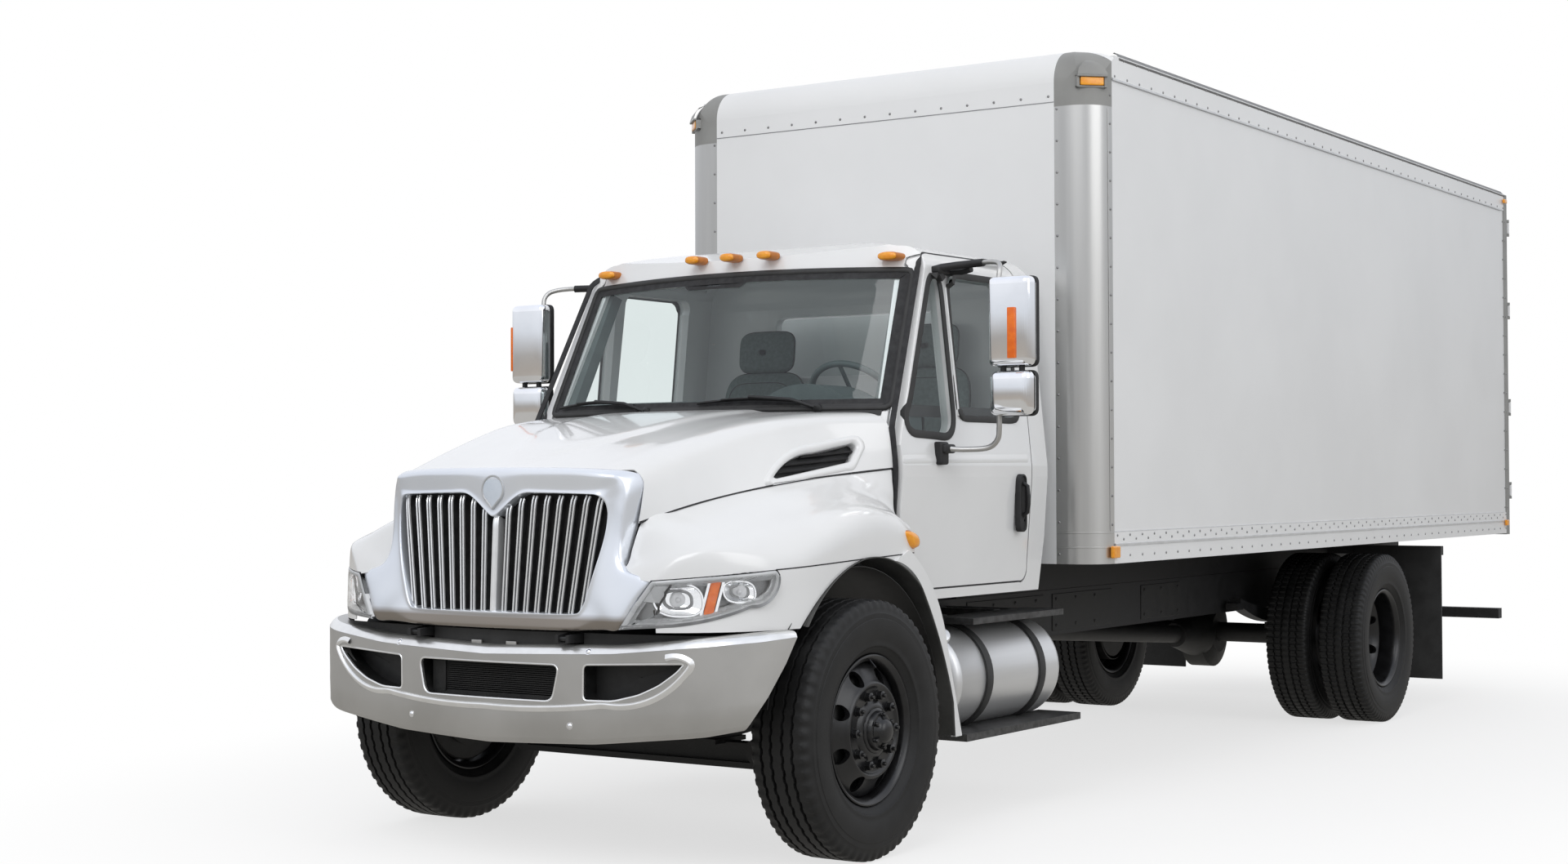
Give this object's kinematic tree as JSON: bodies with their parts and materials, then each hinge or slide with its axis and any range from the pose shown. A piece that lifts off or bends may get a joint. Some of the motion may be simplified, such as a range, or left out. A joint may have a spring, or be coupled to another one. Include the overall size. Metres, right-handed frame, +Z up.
{
  "type": "box truck",
  "caption": "Two-axle box truck: tilting-hood day cab with bright grille, ladder frame, dual rear wheels and a long dry van body with swing rear doors.",
  "frame": {"origin": "on the ground under the middle of the truck's length and width", "axes": "+Z up, +Y to the rear, +X to the driver's (left) side"},
  "size_m": [2.9, 9.721, 3.5829],
  "materials": {
    "white_paint": "gloss white paint",
    "white_panel": "smooth white fibreglass skin",
    "bright_alloy": "polished aluminium",
    "cast_alloy": "grey cast aluminium",
    "chrome": "bright chrome",
    "bumper_steel": "satin stainless",
    "black_frame": "black chassis paint",
    "black_rim": "satin black paint",
    "tyre": "black rubber",
    "black_rubber": "black rubber sheet",
    "tread_steel": "dark step plate",
    "glass": "tinted glass",
    "lamp_lens": "clear lamp lens",
    "amber_lens": "amber lamp lens",
    "grey_trim": "grey moulded trim",
    "seat_cloth": "grey seat cloth",
    "dark_iron": "dark cast iron",
    "floor_wood": "laminated hardwood floor"
  },
  "bodies": {
    "chassis": {"battery_box": "black_frame", "box_corner_caps": "cast_alloy", "box_corner_posts": "bright_alloy", "box_floor": "floor_wood", "box_front_wall": "white_panel", "box_roof": "white_panel", "box_side_left": "white_panel", "box_side_right": "white_panel", "cab_back": "white_paint", "cab_floor": "white_paint", "cab_glass": "glass", "cab_roof": "white_paint", "cab_side_left": "white_paint", "cab_side_right": "white_paint", "crossmembers": "black_frame", "dash": "grey_trim", "engine_block": "dark_iron", "frame_rails": "black_frame", "front_axle": "dark_iron", "front_bumper": "bumper_steel", "fuel_tank": "bright_alloy", "leaf_springs": "black_frame", "marker_lamps": "amber_lens", "mud_flaps": "black_rubber", "radiator": "dark_iron", "rear_axle": "dark_iron", "rear_frame": "cast_alloy", "rear_guard": "black_frame", "rear_posts": "cast_alloy", "seats": "seat_cloth", "side_steps": "tread_steel", "steering_wheel": "grey_trim", "valance": "black_rubber"},
    "hood": {"hood": "white_paint", "hood_scoops": "white_paint", "fender_left": "white_paint", "fender_right": "white_paint", "grille": "chrome", "headlamps": "lamp_lens", "fender_lamps": "amber_lens"},
    "cab_door_left": {"door_left": "white_paint", "door_glass_left": "glass", "mirror_left": "chrome"},
    "cab_door_right": {"door_right": "white_paint", "door_glass_right": "glass", "mirror_right": "chrome"},
    "knuckle_left": {"knuckle_left": "dark_iron"},
    "knuckle_right": {"knuckle_right": "dark_iron"},
    "front_wheel_left": {"front_tyre_left": "tyre", "front_rim_left": "black_rim"},
    "front_wheel_right": {"front_tyre_right": "tyre", "front_rim_right": "black_rim"},
    "rear_wheels_left": {"rear_tyres_left": "tyre", "rear_rims_left": "black_rim"},
    "rear_wheels_right": {"rear_tyres_right": "tyre", "rear_rims_right": "black_rim"},
    "box_door_left": {"box_door_left": "white_panel"},
    "box_door_right": {"box_door_right": "white_panel"}
  },
  "joints": [
    {"name": "hood_tilt", "type": "hinge", "parent": "chassis", "child": "hood", "pos_m": [0, -4.8205, 0.915], "axis": [1, 0, 0], "range_deg": [0, 75]},
    {"name": "cab_door_left_swing", "type": "hinge", "parent": "chassis", "child": "cab_door_left", "pos_m": [1.015, -3.3685, 1.4], "axis": [0, 0, -1], "range_deg": [0, 65]},
    {"name": "cab_door_right_swing", "type": "hinge", "parent": "chassis", "child": "cab_door_right", "pos_m": [-1.015, -3.3685, 1.4], "axis": [0, 0, 1], "range_deg": [0, 65]},
    {"name": "steer_left", "type": "hinge", "parent": "chassis", "child": "knuckle_left", "pos_m": [0.9, -3.8505, 0.521], "axis": [0, 0, 1], "range_deg": [-38, 38]},
    {"name": "steer_right", "type": "hinge", "parent": "chassis", "child": "knuckle_right", "pos_m": [-0.9, -3.8505, 0.521], "axis": [0, 0, 1], "range_deg": [-38, 38]},
    {"name": "front_wheel_left_spin", "type": "hinge", "parent": "knuckle_left", "child": "front_wheel_left", "pos_m": [1.057, -3.8505, 0.521], "axis": [1, 0, 0], "continuous": true},
    {"name": "front_wheel_right_spin", "type": "hinge", "parent": "knuckle_right", "child": "front_wheel_right", "pos_m": [-1.057, -3.8505, 0.521], "axis": [1, 0, 0], "continuous": true},
    {"name": "rear_wheels_left_spin", "type": "hinge", "parent": "chassis", "child": "rear_wheels_left", "pos_m": [0.923, 2.1435, 0.521], "axis": [1, 0, 0], "continuous": true},
    {"name": "rear_wheels_right_spin", "type": "hinge", "parent": "chassis", "child": "rear_wheels_right", "pos_m": [-0.923, 2.1435, 0.521], "axis": [1, 0, 0], "continuous": true},
    {"name": "box_door_left_swing", "type": "hinge", "parent": "chassis", "child": "box_door_left", "pos_m": [1.212, 4.8495, 2.35], "axis": [0, 0, -1], "range_deg": [0, 265]},
    {"name": "box_door_right_swing", "type": "hinge", "parent": "chassis", "child": "box_door_right", "pos_m": [-1.212, 4.8495, 2.35], "axis": [0, 0, 1], "range_deg": [0, 265]}
  ],
  "couplings": [
    {"joint": "steer_right", "follows": "steer_left", "ratio": 1}
  ]
}
